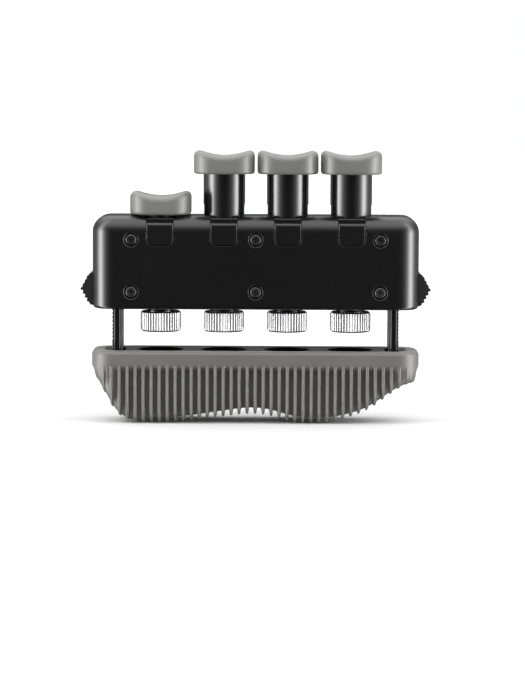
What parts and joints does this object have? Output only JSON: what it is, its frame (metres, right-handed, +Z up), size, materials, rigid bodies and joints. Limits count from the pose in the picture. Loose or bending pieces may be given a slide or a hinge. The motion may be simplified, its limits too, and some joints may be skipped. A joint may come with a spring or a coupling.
{
  "type": "finger exerciser",
  "caption": "Hand-held finger exerciser: sprung finger plungers in a housing, knurled tension dials below, and a ribbed palm grip that slides on toothed posts.",
  "frame": {"origin": "on the centre plane under the housing, at the height of the grip's lowest point", "axes": "+X across the fingers, -Y is the front with the case screws, +Z up towards the finger caps"},
  "size_m": [0.1074, 0.022, 0.0832],
  "materials": {
    "housing_black": "satin moulded",
    "guide_black": "satin moulded",
    "plunger_black": "satin moulded",
    "post_black": "satin moulded",
    "button_black": "fine grained",
    "tray_gloss": "polished",
    "grip_rubber": "matt",
    "cap_grey": "matt",
    "dial_chrome": "bright plated",
    "washer_black": "moulded",
    "black_screw": "black oxide",
    "spring_steel": "drawn wire",
    "screw_steel": "turned",
    "seat_brass": "turned"
  },
  "bodies": {
    "housing": {"front_shell": "housing_black", "back_shell": "housing_black", "housing_screws": "black_screw", "thrust_washers": "washer_black", "plunger_guide_1": "guide_black", "plunger_guide_2": "guide_black", "plunger_guide_3": "guide_black", "plunger_guide_4": "guide_black"},
    "finger_plunger_1": {"plunger_1": "plunger_black", "finger_cap_1": "cap_grey"},
    "seat_1": {"spring_seat_1": "seat_brass", "plunger_spring_1": "spring_steel"},
    "dial_1": {"tension_dial_1": "dial_chrome", "tension_screw_1": "screw_steel", "retaining_clip_1": "spring_steel"},
    "finger_plunger_2": {"plunger_2": "plunger_black", "finger_cap_2": "cap_grey"},
    "seat_2": {"spring_seat_2": "seat_brass", "plunger_spring_2": "spring_steel"},
    "dial_2": {"tension_dial_2": "dial_chrome", "tension_screw_2": "screw_steel", "retaining_clip_2": "spring_steel"},
    "finger_plunger_3": {"plunger_3": "plunger_black", "finger_cap_3": "cap_grey"},
    "seat_3": {"spring_seat_3": "seat_brass", "plunger_spring_3": "spring_steel"},
    "dial_3": {"tension_dial_3": "dial_chrome", "tension_screw_3": "screw_steel", "retaining_clip_3": "spring_steel"},
    "finger_plunger_4": {"plunger_4": "plunger_black", "finger_cap_4": "cap_grey"},
    "seat_4": {"spring_seat_4": "seat_brass", "plunger_spring_4": "spring_steel"},
    "dial_4": {"tension_dial_4": "dial_chrome", "tension_screw_4": "screw_steel", "retaining_clip_4": "spring_steel"},
    "grip": {"grip_tray": "tray_gloss", "grip_sleeve": "grip_rubber"},
    "post_left": {"post_left": "post_black"},
    "button_left": {"release_button_left": "button_black"},
    "post_right": {"post_right": "post_black"},
    "button_right": {"release_button_right": "button_black"}
  },
  "joints": [
    {"name": "plunger_1_press", "type": "slide", "parent": "housing", "child": "finger_plunger_1", "axis": [0, 0, 1], "range_m": [0, 0.0125], "stiffness_N_per_m": 1000, "springref_m": 0.0175, "deforming": ["plunger_spring_1"]},
    {"name": "dial_1_turn", "type": "hinge", "parent": "housing", "child": "dial_1", "pos_m": [-0.02925, 0, 0.031], "axis": [0, 0, -1], "range_deg": [0, 1030]},
    {"name": "seat_1_travel", "type": "slide", "parent": "housing", "child": "seat_1", "axis": [0, 0, 1], "range_m": [0, 0.0021]},
    {"name": "plunger_2_press", "type": "slide", "parent": "housing", "child": "finger_plunger_2", "axis": [0, 0, 1], "range_m": [-0.0125, 0], "stiffness_N_per_m": 1000, "springref_m": 0.005, "deforming": ["plunger_spring_2"]},
    {"name": "dial_2_turn", "type": "hinge", "parent": "housing", "child": "dial_2", "pos_m": [-0.00975, 0, 0.031], "axis": [0, 0, -1], "range_deg": [0, 1030]},
    {"name": "seat_2_travel", "type": "slide", "parent": "housing", "child": "seat_2", "axis": [0, 0, 1], "range_m": [0, 0.0021]},
    {"name": "plunger_3_press", "type": "slide", "parent": "housing", "child": "finger_plunger_3", "axis": [0, 0, 1], "range_m": [-0.0125, 0], "stiffness_N_per_m": 1000, "springref_m": 0.005, "deforming": ["plunger_spring_3"]},
    {"name": "dial_3_turn", "type": "hinge", "parent": "housing", "child": "dial_3", "pos_m": [0.00975, 0, 0.031], "axis": [0, 0, -1], "range_deg": [0, 1030]},
    {"name": "seat_3_travel", "type": "slide", "parent": "housing", "child": "seat_3", "axis": [0, 0, 1], "range_m": [0, 0.0021]},
    {"name": "plunger_4_press", "type": "slide", "parent": "housing", "child": "finger_plunger_4", "axis": [0, 0, 1], "range_m": [-0.0125, 0], "stiffness_N_per_m": 1000, "springref_m": 0.005, "deforming": ["plunger_spring_4"]},
    {"name": "dial_4_turn", "type": "hinge", "parent": "housing", "child": "dial_4", "pos_m": [0.02925, 0, 0.031], "axis": [0, 0, -1], "range_deg": [0, 1030]},
    {"name": "seat_4_travel", "type": "slide", "parent": "housing", "child": "seat_4", "axis": [0, 0, 1], "range_m": [0, 0.0021]},
    {"name": "grip_height", "type": "slide", "parent": "housing", "child": "grip", "axis": [0, 0, 1], "range_m": [-0.0072, 0.0096]},
    {"name": "button_left_press", "type": "slide", "parent": "housing", "child": "button_left", "axis": [1, 0, 0], "range_m": [0, 0.0008], "stiffness_N_per_m": 2500, "springref_m": -0.002},
    {"name": "post_left_flex", "type": "slide", "parent": "grip", "child": "post_left", "axis": [1, 0, 0], "range_m": [0, 0.00085]},
    {"name": "button_right_press", "type": "slide", "parent": "housing", "child": "button_right", "axis": [-1, 0, 0], "range_m": [0, 0.0008], "stiffness_N_per_m": 2500, "springref_m": -0.002},
    {"name": "post_right_flex", "type": "slide", "parent": "grip", "child": "post_right", "axis": [-1, 0, 0], "range_m": [0, 0.00085]}
  ],
  "couplings": [
    {"joint": "seat_1_travel", "follows": "dial_1_turn", "m_per_rad": 0.00011141},
    {"joint": "seat_2_travel", "follows": "dial_2_turn", "m_per_rad": 0.00011141},
    {"joint": "seat_3_travel", "follows": "dial_3_turn", "m_per_rad": 0.00011141},
    {"joint": "seat_4_travel", "follows": "dial_4_turn", "m_per_rad": 0.00011141},
    {"joint": "post_left_flex", "follows": "button_left_press", "ratio": 1},
    {"joint": "post_right_flex", "follows": "button_right_press", "ratio": 1}
  ]
}
